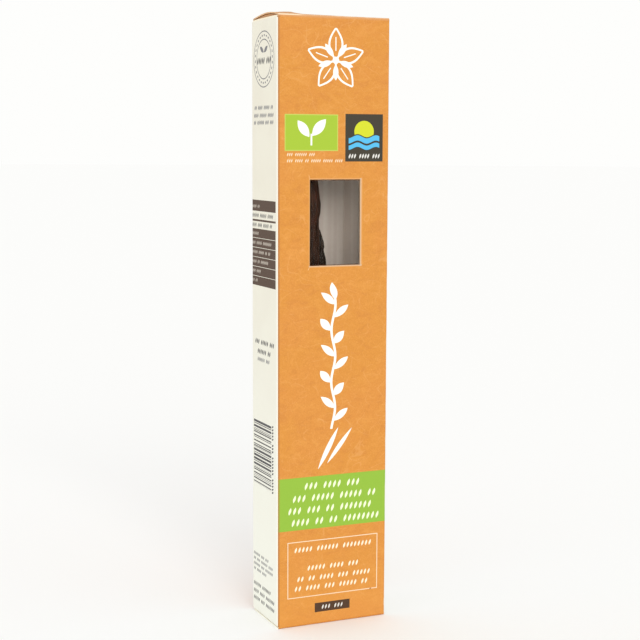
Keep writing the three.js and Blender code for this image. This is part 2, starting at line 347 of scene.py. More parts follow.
def seed_rows(x, z, size, seed, rows):
    """Rows of leaning seeds in groups of uneven length.

    The size is the seeds' height, width and pitch, and each row is (level, start, end)."""
    height, width, pitch = size
    marks = []
    for index, (level, start, end) in enumerate(rows):
        draw = random.Random(seed + index)
        up = z - level
        along = x - up * SEED_LEAN - start
        share = up * (2 / height)
        cell = along.math("FLOORED_MODULO", pitch) - pitch / 2
        blade = (share * share + cell.absolute() * (2 / width)) < 1.0
        groups = []
        count = round((end - start) / pitch)
        place = 0
        while place < count:
            length = draw.randint(*SEED_GROUP)
            if count - place - length < SMALLEST_LAST_GROUP:
                length = count - place
            groups.append(along.between(place * pitch, (place + length) * pitch))
            place += length + 1
        marks.append(blade * reduce(or_, groups))
    return reduce(or_, marks)


# Colours in sRGB, and places and sizes in millimetres

WHITE = (246, 246, 238)
BAND_WHITE = (236, 244, 208)
FRAME_WHITE = (246, 234, 206)
BADGE_WHITE = (222, 220, 214)
PALE_ORANGE = (240, 216, 184)
BAND_GREEN = (143, 184, 54)
FIELD_GREEN = (161, 191, 46)
FIELD_RIM = (188, 204, 88)
BADGE_DARK = (56, 50, 36)
SKY_BLUE = (80, 182, 228)
LIME = (205, 212, 32)
TABLE_BROWN = (74, 48, 26)
TABLE_PALE = (206, 196, 182)
INK_GREY = (124, 123, 126)
INK_DARK = (74, 72, 74)

WINDOW_LEFT, WINDOW_RIGHT = -8.55, 9.35
WINDOW_LOW, WINDOW_HIGH = 120.1, 148.0


# Board: the base colours and the fine surface

BOARD_ROUGHNESS, BOARD_ROUGHNESS_RANGE = 0.46, 0.16
BOARD_RELIEF = 0.35
FINE_SHARE = 0.06  # of the relief

# Clouds are two colours that blend, and a paint is (colour, cover)
ORANGE_CLOUDS = ((212, 140, 51), (213, 139, 55))
WISP_DARK, WISP_PALE = ((202, 128, 50), 0.52), ((221, 151, 66), 0.52)
GRAIN_DARK, GRAIN_PALE = ((186, 116, 44), 0.34), ((230, 167, 90), 0.34)
FIBRE_PAINT = ((228, 165, 94), 0.42)
# Each net of fibres: the size and the shift of the noise it follows, and its fibres' width
FIBRES = (
    (17, 21, 0.004),
    (15, 40, 0.004),
    (19, 63, 0.0035),
    (18, 84, 0.004),
    (12, 97, 0.005),
    (14, 53, 0.0045),
    (10, 71, 0.005),
)

CREAM_CLOUDS = ((233, 228, 212), (236, 232, 216))
CREAM_BELOW = ((242, 243, 232), 0.9)
CREAM_FADE = (150.0, 5.0)  # the levels between which the cream gets paler


def board_material(name, ground):
    """The board's material in the print that ground paints: broad dents and a fine tooth."""
    surface = Surface(name)
    surface.set(Base_Color=ground(surface), Specular_IOR_Level=0.4)
    fine = surface.noise(0.35, detail=3)
    broad = surface.noise(28, detail=1, shift=7)
    surface.set(Roughness=fine.math("MULTIPLY_ADD", BOARD_ROUGHNESS_RANGE, BOARD_ROUGHNESS))
    surface.bump(broad * (1 - FINE_SHARE) + fine * FINE_SHARE, BOARD_RELIEF)
    return surface.material


def orange_ground(surface):
    """Orange print like handmade paper: wispy, grainy and crossed by faint pale fibres."""
    cloud = surface.noise(13, detail=2, shift=3)
    wisp = surface.noise(3.6, detail=4, stretch=(0.6, 0.6, 1.15), shift=14, distortion=1.1)
    grain = surface.noise(0.45, detail=2, shift=11)
    colour = surface.mix(*ORANGE_CLOUDS, cloud.ramp(0.36, 0.64))
    colour = surface.lay(colour, WISP_DARK, wisp.ramp(0.47, 0.3))
    colour = surface.lay(colour, WISP_PALE, wisp.ramp(0.51, 0.7))
    colour = surface.lay(colour, GRAIN_DARK, grain.ramp(0.5, 0.78))
    colour = surface.lay(colour, GRAIN_PALE, grain.ramp(0.5, 0.22))
    for size, shift, width in FIBRES:
        path = (surface.noise(size, detail=1, shift=shift, distortion=0.3) - 0.5).absolute()
        broken = surface.noise(3.5, detail=1, shift=shift + 5).ramp(0.44, 0.58)
        colour = surface.lay(colour, FIBRE_PAINT, path.ramp(width, 0.0) * broken)
    return colour


def cream_ground(surface):
    """Cream print that gets paler towards the base."""
    cloud = surface.noise(14, detail=3, shift=5)
    colour = surface.mix(*CREAM_CLOUDS, cloud.ramp(0.3, 0.7))
    return surface.lay(colour, CREAM_BELOW, surface.z.ramp(*CREAM_FADE))


# The flower's petals as (length, half width), and the vine's leaves as (angle, length, width)

FLOWER_PLACE = (0.4, 186.0)
LINE_PETAL = (10.2, 2.3)
FILLED_PETAL = (6.4, 0.95)
HALF_PETAL_TURN = math.radians(36)
FULL_TURNS = 8 * math.pi  # keeps the folded angle above 0
PETAL_START = 0.6
PETAL_LINE = 0.34
VEIN_START = 3.0
VEIN_SHARE = 0.72  # of the petal's length
VEIN_LINE = 0.17
FILLED_MIDDLE, FILLED_HALF = 0.6, 0.4  # as shares of the petal's length
HEART_RADIUS = 1.15

VINE_PLACE = (0.0, 66.0, 114.6)  # middle, low and high
VINE_PITCH = 8.6
VINE_SWAY = 0.7
VINE_STEM = 0.42
VINE_STEM_END = 4.5  # below the top
VINE_TOP_LEAF = (90, 5.8, 2.5)
VINE_TOP_PLACE = 2.9  # its middle, below the top
VINE_SIDE_LEAF = (42, 6.0, 2.5)
VINE_SIDE_PLACE = (2.35, 0.35)  # a side leaf's middle, from the stem and in its cell
VINE_SIDE_LOW, VINE_SIDE_HIGH = 2, 3.2  # from the vine's ends to where side leaves may be


def flower(x, z, centre_x, centre_z):
    """A five-petalled flower in line work with five filled leaves between the petals."""
    from_x, from_z = x - centre_x, z - centre_z
    radius = (from_x * from_x + from_z * from_z).math("SQRT")
    turn = from_x.math("ARCTAN2", from_z)
    petal = line_petal(radius, turn, *LINE_PETAL)
    inner = filled_petal(radius, turn + HALF_PETAL_TURN, *FILLED_PETAL)
    return petal | inner | (radius < HEART_RADIUS)


def fold_petal(radius, turn):
    """Along and across a petal, for five of them round the centre."""
    folded = (turn + FULL_TURNS).math("PINGPONG", HALF_PETAL_TURN)
    return radius * folded.math("COSINE"), radius * folded.math("SINE")


def line_petal(radius, turn, length, half_width):
    u, v = fold_petal(radius, turn)
    outline = (u * (math.pi / length)).math("SINE") * half_width
    rim = ((v - outline).absolute() < PETAL_LINE) * u.between(PETAL_START, length)
    vein = (v < VEIN_LINE) * u.between(VEIN_START, length * VEIN_SHARE)
    return rim | vein


def filled_petal(radius, turn, length, half_width):
    u, v = fold_petal(radius, turn)
    share = (u - length * FILLED_MIDDLE) / (length * FILLED_HALF)
    return (share * share + v / half_width) < 1.0


def vine(x, z, middle, low, high):
    """An upright stem that sways, with a leaf to either side in turn."""
    sway = (z * (math.pi / VINE_PITCH)).math("SINE") * VINE_SWAY
    from_stem = x - middle - sway
    marks = (from_stem.absolute() < VINE_STEM) * z.between(low, high - VINE_STEM_END)
    marks = marks | leaf(from_stem, z, 0.0, high - VINE_TOP_PLACE, *VINE_TOP_LEAF)
    for side, shift in ((1, 0.0), (-1, VINE_PITCH / 2)):
        cell = (z - low + shift).math("FLOORED_MODULO", VINE_PITCH) - VINE_PITCH / 2
        blade = leaf(from_stem * side, cell, *VINE_SIDE_PLACE, *VINE_SIDE_LEAF)
        allowed = z.between(low + VINE_SIDE_LOW + shift, high - VINE_SIDE_HIGH)
        marks = marks | (blade * allowed)
    return marks


# Layout of the front. Boxes are (left, right, low, high), and leaves are as in leaves()

LOW_TINT = ((224, 154, 70), 0.35)
LOW_TINT_FADE = (32.0, 0.0)
FIELD_BOX = (-17.0, 1.0, 157.45, 168.5)
FIELD_RIM_WIDTH = 0.3
SPROUT_LEAVES = ((-10.8, 164.2, 128, 6.6, 3.0), (-5.4, 164.6, 48, 7.2, 3.2))
SPROUT_STEM = (-8.35, -7.75, 158.9, 162.6)
BADGE_BOX = (3.9, 17.35, 153.75, 169.05)
BADGE_FOOT = (5.1, 16.1, 153.75, 157.3)
SUN_PLACE = (10.6, 163.4)
SUN_RADIUS = 3.5
WAVE_RATE, WAVE_HEIGHT = 0.95, 0.5
WAVES = ((160.9, 0.85), (158.7, 0.7))  # level and half thickness
WAVE_ENDS = (5.1, 16.1)
WAVE_GAP = 0.35
POD_PAIR = ((-1.7, 59.6, 62, 15.5, 1.7), (2.4, 60.2, 52, 14.5, 1.5))
BAND_LEVELS = (32.85, 50.5)
FRAME_BOX = (-15.92, 16.37, 10.08, 28.67)
FRAME_LINE = 0.28
PLATE_BOX = (-6.35, 6.45, 4.15, 7.3)

# Rows of seeds that stand for lines of text: ink, the seeds' size, seed of the draw and rows
FRONT_ROWS = (
    (PALE_ORANGE, (1.15, 0.42, 0.7), 3, ((156.0, -16.6, -7.0), (154.0, -16.6, 2.8))),
    (BADGE_WHITE, (1.6, 0.62, 0.95), 8, ((155.5, 5.0, 16.4),)),
    (
        BAND_WHITE,
        (2.5, 0.9, 1.7),
        20,
        ((47.4, -10.4, 10.6), (43.4, -14.6, 16.2), (39.4, -16.2, 14.4), (35.4, -15.0, 17.2)),
    ),
    (
        FRAME_WHITE,
        (1.9, 0.72, 1.35),
        40,
        ((26.1, -13.9, 14.7), (19.6, -9.2, 9.9), (16.1, -12.9, 13.8), (12.9, -13.8, 12.6)),
    ),
    (BADGE_WHITE, (1.6, 0.6, 1.15), 51, ((5.72, -4.0, 4.2),)),
)


def front_print(surface):
    x, z = surface.x, surface.z
    colour = surface.lay(orange_ground(surface), LOW_TINT, z.ramp(*LOW_TINT_FADE))
    colour = surface.mix(colour, WHITE, flower(x, z, *FLOWER_PLACE))
    colour = surface.mix(colour, FIELD_RIM, box(x, z, *grown(FIELD_BOX, FIELD_RIM_WIDTH)))
    colour = surface.mix(colour, FIELD_GREEN, box(x, z, *FIELD_BOX))
    sprout = leaves(x, z, SPROUT_LEAVES) | box(x, z, *SPROUT_STEM)
    colour = surface.mix(colour, WHITE, sprout)
    colour = surface.mix(colour, BADGE_DARK, box(x, z, *BADGE_BOX))
    colour = surface.mix(colour, LIME, distance(x, z, *SUN_PLACE) < SUN_RADIUS)
    swell = (x * WAVE_RATE).math("SINE") * WAVE_HEIGHT
    across = x.between(*WAVE_ENDS)
    for level, height in WAVES:
        off_crest = (z - level - swell).absolute()
        colour = surface.mix(colour, BADGE_DARK, (off_crest < height + WAVE_GAP) * across)
        colour = surface.mix(colour, SKY_BLUE, (off_crest < height) * across)
    colour = surface.mix(colour, BADGE_DARK, box(x, z, *BADGE_FOOT))
    colour = surface.mix(colour, WHITE, vine(x, z, *VINE_PLACE))
    colour = surface.mix(colour, WHITE, leaves(x, z, POD_PAIR))
    colour = surface.mix(colour, BAND_GREEN, z.between(*BAND_LEVELS))
    frame_line = box(x, z, *grown(FRAME_BOX, FRAME_LINE)) - box(x, z, *FRAME_BOX)
    colour = surface.mix(colour, PALE_ORANGE, frame_line)
    colour = surface.mix(colour, TABLE_BROWN, box(x, z, *PLATE_BOX))
    for ink, size, seed, rows in FRONT_ROWS:
        colour = surface.mix(colour, ink, seed_rows(x, z, size, seed, rows))
    return colour


# Layout of the narrow side, with s to the right in place of x

SEAL_PLACE = (-0.65, 186.5)
SEAL_RINGS = (8.9, 6.3)
SEAL_LINE = 0.17
SEAL_BEADS = 26.0  # for each full turn
BEAD_RING, BEAD_SIZE, BEAD_CUT = 7.6, 0.3, 0.1
SEAL_LEAVES = ((-2.4, 189.6, 150, 3.8, 1.5), (1.1, 189.6, 30, 3.8, 1.5))
TABLE_ENDS = (-11.6, 9.6)
TABLE_PITCH = 3.16
TABLE_BARS = (
    (137.35, 141.0),
    (133.95, 134.6),
    *((128.5 - TABLE_PITCH * row, 131.5 - TABLE_PITCH * row) for row in range(6)),
)
BARS_BOX = (-10.1, 5.8, 45.4, 67.4)
BAR_RATES = ((3.9, 0.0), (6.3, 1.1), (10.7, 0.4))  # of three waves, with how far each is ahead
BAR_DIGITS = ((1.5, 0.75, 1.05), 110, ((7.0, 44.6, 67.8),))  # as in SIDE_ROWS, but upright

SIDE_ROWS = (
    (INK_DARK, (2.4, 0.95, 1.35), 63, ((186.0, -6.6, 5.5),)),
    (
        INK_GREY,
        (1.55, 0.74, 1.02),
        70,
        ((171.0, -9.0, 7.6), (168.5, -9.5, 7.9), (166.2, -9.6, 7.8)),
    ),
    (
        TABLE_PALE,
        (1.3, 0.5, 0.95),
        80,
        (
            (138.9, -11.2, -4.6),
            (129.95, -11.2, -5.6),
            (126.85, -11.2, 5.8),
            (123.75, -11.2, 4.6),
            (120.6, -11.2, 3.4),
            (117.5, -11.2, -3.2),
            (114.35, -11.2, -6.0),
        ),
    ),
    (INK_DARK, (1.6, 0.62, 0.98), 95, ((135.9, -11.2, 7.4), (132.75, -11.2, 6.8))),
    (INK_DARK, (1.9, 0.9, 1.3), 100, ((94.0, -8.7, 7.6), (90.8, -6.6, 5.0))),
    (INK_GREY, (1.55, 0.76, 1.08), 105, ((88.1, -6.6, 4.1),)),
    (
        INK_GREY,
        (1.3, 0.64, 0.96),
        120,
        ((20.7, -10.3, 3.6), (18.9, -10.3, 6.6), (17.1, -10.3, 7.4), (15.3, -10.3, 1.2)),
    ),
    (
        INK_DARK,
        (1.6, 0.7, 1.1),
        130,
        ((10.2, -10.3, 4.6), (7.6, -10.3, 8.3), (5.1, -10.3, 8.5)),
    ),
)


def side_print(surface):
    """The narrow side with the seal, the table and the bars."""
    s, z = surface.y * -1.0, surface.z
    radius = distance(s, z, *SEAL_PLACE)
    seal = [(radius - ring).absolute() < SEAL_LINE for ring in SEAL_RINGS]
    angle = (s - SEAL_PLACE[0]).math("ARCTAN2", z - SEAL_PLACE[1])
    bead = (angle * SEAL_BEADS).math("SINE") > BEAD_CUT
    seal.append(bead * ((radius - BEAD_RING).absolute() < BEAD_SIZE))
    seal.append(leaves(s, z, SEAL_LEAVES))
    colour = surface.mix(cream_ground(surface), INK_GREY, reduce(or_, seal))
    brown = reduce(or_, [z.between(*levels) for levels in TABLE_BARS])
    colour = surface.mix(colour, TABLE_BROWN, brown * s.between(*TABLE_ENDS))
    waves = reduce(add, [(z * rate + ahead).math("SINE") for rate, ahead in BAR_RATES])
    colour = surface.mix(colour, INK_DARK, (waves > 0.0) * box(s, z, *BARS_BOX))
    colour = surface.mix(colour, INK_DARK, seed_rows(z, s, *BAR_DIGITS))
    for ink, size, seed, rows in SIDE_ROWS:
        colour = surface.mix(colour, ink, seed_rows(s, z, size, seed, rows))
    return colour


# Wear, painted highlights and painted shade at the window's edge and the folds, on top of the
# print, mostly as paints of (colour, cover). A FADE says between which places one comes in,
# from none to all of it

RIM_TINT = ((222, 164, 102), 0.8)
RIM_BOX = (WINDOW_LEFT - 0.3, WINDOW_RIGHT + 0.75, WINDOW_LOW - 0.5, WINDOW_HIGH + 0.4)
# The cut edge's own pale board right of and below the window, widened by a painted highlight on
# its rim
CUT_EDGE_HIGHLIGHT = (208, 176, 142)
CUT_EDGE_RIGHT_FADE = (WINDOW_RIGHT + 0.65, WINDOW_RIGHT + 0.1)
CUT_EDGE_LOW_FADE = (WINDOW_LOW - 0.5, WINDOW_LOW - 0.05)
CUT_EDGE_OVERLAP = 0.1  # into the window
RIM_STREAKS = (
    (WINDOW_LEFT - 0.35, WINDOW_LOW - 0.9, 62, 1.3, 0.22),
    (WINDOW_LEFT - 0.2, WINDOW_HIGH + 0.9, 102, 1.6, 0.18),
)
STREAK_PAINT = ((246, 208, 152), 0.55)

# Painted shade: a darker band on the front beside its left fold
LEFT_FOLD_PAINTED_SHADE = ((168, 112, 60), 0.7)
LEFT_FOLD_FADE = (-18.75, -19.3)
LEFT_FOLD_CREAM = (244, 236, 214)
LEFT_FOLD_EDGE = -19.49
# Painted shade just below the crest of the front's top fold
CREST_PAINTED_SHADE = ((206, 154, 108), 0.5)
CREST_SHADE_FADE = (198.9, 199.5)
# The crest's pale line: cracked, rubbed print and a painted highlight along the fold
CREST_WEAR_AND_HIGHLIGHT = (250, 230, 198)
CREST_PALE_FADE = (199.6, 199.85)
CREST_LEFT_FADE = (-9.5, -14.5)
CREST_PALE_COVER = (0.25, 0.5, 0.15)  # its cover in patches, more at the left, and everywhere
RIGHT_FOLD_WORN = ((243, 222, 190), 0.6)
RIGHT_FOLD_FADE = (19.15, 19.5)
CORNER_WORN = ((232, 204, 166), 0.6)
CORNER_PLACE = (19.7, 4.5)
CORNER_FADE = (2.0, 0.6)  # distances from its place
CORNER_SIDE_FADE = (18.9, 19.4)
NICK_PAINT = ((150, 92, 48), 0.8)
NICK_LEAF = (14.1, 9.85, 15, 0.9, 0.5)

# Painted shade that dulls the raised crown of the lid
LID_PAINTED_SHADE = ((186, 142, 96), 0.5)
LID_SHADE_FADE = (199.4, 200.6)
# Painted highlight on the narrow side along its fold to the front
SIDE_FOLD_SOFT_HIGHLIGHT = ((255, 252, 243), 0.5)
SIDE_SOFT_HIGHLIGHT_FADE = (-9.9, -10.4)
SIDE_FOLD_HIGHLIGHT = ((251, 247, 233), 0.9)
SIDE_HIGHLIGHT_FADE = (-10.9, -11.3)
# The pale line along the side's top fold: partly wear and partly a painted highlight
TOP_FOLD_WEAR_AND_HIGHLIGHT = ((250, 236, 204), 0.8)
TOP_FOLD_FADE = (198.9, 199.5)
TOP_FOLD_SLOPE = 0.009  # the fold is lower at the back by this for each millimetre
FLAP_LEVEL = 199.65
# The dust flap's colour, with painted shadow from the lid that darkens it towards the fold
FLAP_PALE, FLAP_PAINTED_SHADOW = (216, 160, 100), (172, 122, 76)
FLAP_SHADOW_FADE = (200.6, 199.75)

RAW_CLOUDS = ((248, 238, 228), (252, 243, 234))
# Faint darker upright lines on the inner board
UPRIGHT_LINE = ((230, 215, 205), 0.55)
# Painted shade, tan, on the raw board under the lid's left edge
LID_EDGE_PAINTED_SHADE = ((202, 150, 98), 0.85)
LID_EDGE_SHADE_FADE = (-17.2, -18.8)
LID_EDGE_SHADE_LEVEL = 199.3
FOOT_EDGE = ((247, 247, 230), 0.9)
FOOT_EDGE_LEVEL = 0.7
GLUE_FLAP_EDGE = 13.6
GLUE_FLAP_DEPTHS = (10.0, 10.95)
# Painted shade on the flap at the side seam, darkest by its free edge
SEAM_PAINTED_SHADE = ((214, 198, 183), 0.45)
SEAM_FADE = (GLUE_FLAP_EDGE + 2.6, GLUE_FLAP_EDGE + 0.6)
EDGE_CLOUDS = ((210, 160, 108), (230, 194, 150))


def window_rim(surface, colour):
    """A paler band round the window; right of and below it, the pale cut edge with a painted
    highlight on its rounded rim; pale streaks at the left corners.
    """
    x, z = surface.x, surface.z
    near = box(x, z, *RIM_BOX)
    colour = surface.lay(colour, RIM_TINT, near)
    # Painted highlight on the pale cut edge right of and below the window
    right = x.ramp(*CUT_EDGE_RIGHT_FADE) * (x > WINDOW_RIGHT - CUT_EDGE_OVERLAP)
    below = z.ramp(*CUT_EDGE_LOW_FADE) * (z < WINDOW_LOW + CUT_EDGE_OVERLAP)
    colour = surface.mix(colour, CUT_EDGE_HIGHLIGHT, (right | below) * near)
    return surface.lay(colour, STREAK_PAINT, leaves(x, z, RIM_STREAKS))


def front_ground(surface):
    """The print with rubbed folds: cream along the left one, here and there on the right.

    Painted shade darkens it beside the left fold and just below the crest, and the crest's pale
    line is partly wear and partly a painted highlight.
    """
    x, z = surface.x, surface.z
    colour = window_rim(surface, front_print(surface))
    # Painted shade beside the left fold
    colour = surface.lay(colour, LEFT_FOLD_PAINTED_SHADE, x.ramp(*LEFT_FOLD_FADE))
    # Painted shade below the crest
    colour = surface.lay(colour, CREST_PAINTED_SHADE, z.ramp(*CREST_SHADE_FADE))
    # The crest's pale line, partly wear and partly a painted highlight
    patchy = surface.noise(5, detail=3, shift=23).ramp(0.6, 0.4)
    in_patches, at_left, everywhere = CREST_PALE_COVER
    crest_pale = patchy * in_patches + x.ramp(*CREST_LEFT_FADE) * at_left + everywhere
    colour = surface.mix(colour, CREST_WEAR_AND_HIGHLIGHT, z.ramp(*CREST_PALE_FADE) * crest_pale)
    rubbed = surface.noise(2.5, detail=3, stretch=(1, 1, 0.3), shift=17).ramp(0.52, 0.62)
    colour = surface.lay(colour, RIGHT_FOLD_WORN, x.ramp(*RIGHT_FOLD_FADE) * rubbed)
    corner = distance(x, z, *CORNER_PLACE).ramp(*CORNER_FADE) * x.ramp(*CORNER_SIDE_FADE)
    colour = surface.lay(colour, CORNER_WORN, corner)
    colour = surface.lay(colour, NICK_PAINT, leaf(x, z, *NICK_LEAF))
    return surface.mix(colour, LEFT_FOLD_CREAM, x < LEFT_FOLD_EDGE)


def lid_ground(surface):
    """Plain orange for the lid, the back and the bottom, with painted shade dulling the lid's
    crown.
    """
    return surface.lay(orange_ground(surface), LID_PAINTED_SHADE, surface.z.ramp(*LID_SHADE_FADE))


def side_ground(surface):
    """The narrow side, with a painted highlight along the fold to the front."""
    y = surface.y
    # Painted highlight along the fold to the front
    colour = surface.lay(side_print(surface), SIDE_FOLD_SOFT_HIGHLIGHT, y.ramp(*SIDE_SOFT_HIGHLIGHT_FADE))
    colour = surface.lay(colour, SIDE_FOLD_HIGHLIGHT, y.ramp(*SIDE_HIGHLIGHT_FADE))
    return folded_top(surface, colour)


def right_ground(surface):
    return folded_top(surface, cream_ground(surface))


def folded_top(surface, colour):
    """Cream up to the fold, whose pale line is partly wear and partly a painted highlight, and
    above it the dust flap, which is printed orange, with painted shadow from the lid towards
    the fold.
    """
    level = surface.y.math("MULTIPLY_ADD", TOP_FOLD_SLOPE, surface.z)
    # Partly wear and partly a painted highlight along the top fold
    colour = surface.lay(colour, TOP_FOLD_WEAR_AND_HIGHLIGHT, level.ramp(*TOP_FOLD_FADE))
    # Painted shadow from the lid, darkest near the fold
    flap = surface.mix(FLAP_PALE, FLAP_PAINTED_SHADOW, level.ramp(*FLAP_SHADOW_FADE))
    return surface.mix(colour, flap, level > FLAP_LEVEL)


def raw_ground(surface):
    """The unprinted inner side: pale board with faint upright lines.

    Painted shade darkens the board under the lid's edge at the left, and the flap at the side
    seam near its free edge. The cut edge at the foot is tinted."""
    x, z = surface.x, surface.z
    fibre = surface.noise(1.6, detail=3, shift=2)
    lines = surface.noise(2.8, detail=1, stretch=(1, 1, 0.02), shift=19)
    colour = surface.mix(*RAW_CLOUDS, fibre.ramp(0.3, 0.7))
    colour = surface.lay(colour, UPRIGHT_LINE, lines.ramp(0.42, 0.62))
    # Painted shade under the lid's left edge
    at_lid = x.ramp(*LID_EDGE_SHADE_FADE) * (z > LID_EDGE_SHADE_LEVEL)
    colour = surface.lay(colour, LID_EDGE_PAINTED_SHADE, at_lid)
    colour = surface.lay(colour, FOOT_EDGE, z < FOOT_EDGE_LEVEL)
    # Painted shade on the flap near its free edge
    on_flap = (x > GLUE_FLAP_EDGE) * surface.y.between(*GLUE_FLAP_DEPTHS)
    return surface.lay(colour, SEAM_PAINTED_SHADE, x.ramp(*SEAM_FADE) * on_flap)


def edge_ground(surface):
    """The cut edge of the board, tinted by the print and a little grubby."""
    fibre = surface.noise(0.6, detail=2, shift=27)
    return surface.mix(*EDGE_CLOUDS, fibre.ramp(0.35, 0.65))


# Pieces

MERGE_DISTANCE = 0.002
BOARD = 0.42
CUT_TOLERANCE = 0.004  # an edge this near to the board's thickness bounds a cut face
CUT_BACK = 9  # cut faces further back look like what they end
CUT_FOOT = 2  # cut faces below this are pale
SMOOTH_ANGLE = 35

# The outside of the board: where it begins, and how much a face there looks outwards
LID_BEGINS, FOOT_ENDS, FOOT_HALF_WIDTH = 199.05, 1.0, 19.3
FACE_BEGINS, SIDE_BEGINS = 10.9, 18.9
LOOKS_OUT, LOOKS_UP, LOOKS_BACK = 0.3, 0.1, 0.6

# Each side of the board: its paint, and whether it is print that the baked picture favours
BOARD_SIDES = {
    "front": (front_ground, True),
    "orange": (lid_ground, True),
    "side": (side_ground, True),
    "cream": (right_ground, True),
    "raw": (raw_ground, False),
    "edge": (edge_ground, False),
}


def piece_from(node, name):
    """A piece with a copy of a node's mesh and no material yet, which stands for that node."""
    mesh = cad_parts[node].data.copy()
    mesh.name = name
    mesh.materials.clear()
    piece = bpy.data.objects.new(name, mesh)
    bpy.context.scene.collection.objects.link(piece)
    bm = bmesh.new()
    bm.from_mesh(mesh)
    bmesh.ops.remove_doubles(bm, verts=bm.verts, dist=MERGE_DISTANCE * MM)
    bm.to_mesh(mesh)
    bm.free()
    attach(piece, "root")
    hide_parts(node)
    return piece


def add_carton():
    piece = piece_from("carton", "carton_board")
    mesh = piece.data
    names = list(BOARD_SIDES)
    for name, (ground, _) in BOARD_SIDES.items():
        mesh.materials.append(board_material(f"{name}_board", ground))
    for face in mesh.polygons:
        face.material_index = names.index(face_side(mesh, face))
    add_bake_map(mesh, [printed for _, printed in BOARD_SIDES.values()])
    mesh.shade_smooth()
    mesh.set_sharp_from_angle(angle=math.radians(SMOOTH_ANGLE))
    modifier = piece.modifiers.new("even_normals", "WEIGHTED_NORMAL")
    modifier.keep_sharp = True


def face_side(mesh, face):
    """Which of the board's sides, the keys of BOARD_SIDES, a face shows."""
    corners = [mesh.vertices[index].co for index in face.vertices]
    lengths = [(a - b).length / MM for a, b in zip(corners, corners[1:] + corners[:1])]
    cut = any(abs(length - BOARD) < CUT_TOLERANCE for length in lengths)
    if cut and face.center.y < CUT_BACK * MM:
        return "edge" if face.center.z > CUT_FOOT * MM else "raw"
    return uncut_side(face.center / MM, face.normal)


def uncut_side(centre, normal):
    """The same away from cut edges: print on the outside, and raw board for all the rest."""
    x, y, z = centre
    level = normal.z > LOOKS_UP and abs(normal.x) < LOOKS_OUT and normal.y > -LOOKS_OUT
    if z > LID_BEGINS and level:
        return "orange"
    if z < FOOT_ENDS and normal.z < -LOOKS_UP and abs(x) < FOOT_HALF_WIDTH:
        return "orange"
    if y < -FACE_BEGINS and normal.y < -LOOKS_OUT:
        return "front"
    if x < -SIDE_BEGINS and normal.x < -LOOKS_OUT:
        return "side"
    if x > SIDE_BEGINS and normal.x > LOOKS_OUT:
        return "cream"
    if y > FACE_BEGINS and normal.y > LOOKS_BACK:
        return "orange"
    return "raw"


# The carton's map for baking, in pixels and pixels per millimetre

BAKE_PIXELS = 1024
ISLAND_GAP = 4
THINNEST_ISLAND = 3
PRINT_DENSITY = 4.95
PLAIN_DENSITY = 2.2
SHRINK_STEP = 0.98
LEAST_SPAN = 0.001  # in millimetres, so that no island is divided by 0
AXIS_FAVOUR = (1.0, 1.02, 1.01)


def facing(normal):
    """The axis and sign that a face looks along. At 45 degrees it always goes one way."""
    leaning = [abs(part) * favour for part, favour in zip(normal, AXIS_FAVOUR)]
    axis = leaning.index(max(leaning))
    return axis, 1 if normal[axis] > 0 else -1


def islands_of(mesh):
    """Groups of faces that hang together, wear one material and look the same way."""
    ways = [(face.material_index, *facing(face.normal)) for face in mesh.polygons]
    beside = {}
    for face in mesh.polygons:
        for edge in face.edge_keys:
            beside.setdefault(edge, []).append(face.index)
    placed = set()
    islands = []
    for first in range(len(ways)):
        if first in placed:
            continue
        placed.add(first)
        island = [first]
        for face in island:
            for edge in mesh.polygons[face].edge_keys:
                for other in beside[edge]:
                    if other not in placed and ways[other] == ways[face]:
                        placed.add(other)
                        island.append(other)
        islands.append(island)
    return islands


def laid_flat(mesh, island):
    """Each vertex's place on an island seen square on, in millimetres from its lower corner."""
    axis, sign = facing(mesh.polygons[island[0]].normal)
    across, up = ((1, 2), (0, 2), (0, 1))[axis]
    turn = -sign if axis == 1 else sign
    corners = {index for face in island for index in mesh.polygons[face].vertices}
    places = {}
    for index in sorted(corners):
        spot = mesh.vertices[index].co / MM
        places[index] = (spot[across] * turn, spot[up])
    left, low = (min(values) for values in zip(*places.values()))
    return {index: (x - left, z - low) for index, (x, z) in places.items()}


def packed(sizes):
    """Each size's corner in the bake's square, tallest first and lowest free place, or None."""
    skyline = [0] * BAKE_PIXELS
    corners = {}
    for index in sorted(range(len(sizes)), key=lambda index: (-sizes[index][1], index)):
        width, height = (math.ceil(side) + ISLAND_GAP for side in sizes[index])
        starts = [0] + [x for x in range(1, BAKE_PIXELS) if skyline[x] != skyline[x - 1]]
        free = [(max(skyline[x : x + width]), x) for x in starts if x + width <= BAKE_PIXELS]
        level, left = min(free, default=(BAKE_PIXELS, 0))
        if level + height > BAKE_PIXELS:
            return None
        skyline[left : left + width] = [level + height] * width
        corners[index] = (left + ISLAND_GAP / 2, level + ISLAND_GAP / 2)
    return corners


def add_bake_map(mesh, printed):
    """A map for baking that gives most of its room to the materials that are printed."""
    flat = []
    for island in islands_of(mesh):
        places = laid_flat(mesh, island)
        wide, high = (max(max(values), LEAST_SPAN) for values in zip(*places.values()))
        favoured = printed[mesh.polygons[island[0]].material_index]
        density = PRINT_DENSITY if favoured else PLAIN_DENSITY
        flat.append((island, places, wide, high, density))
    corners = None
    shrink = 1.0
    while corners is None:
        sizes = [
            [max(side * density * shrink, THINNEST_ISLAND) for side in (wide, high)]
            for _, _, wide, high, density in flat
        ]
        corners = packed(sizes)
        shrink *= SHRINK_STEP
    layer = mesh.uv_layers.new(name="OFBake")
    for index, (island, places, wide, high, _) in enumerate(flat):
        (left, low), (width, height) = corners[index], sizes[index]
        for face in island:
            for loop in mesh.polygons[face].loop_indices:
                x, z = places[mesh.loops[loop].vertex_index]
                across, up = left + x * width / wide, low + z * height / high
                layer.data[loop].uv = (across / BAKE_PIXELS, up / BAKE_PIXELS)


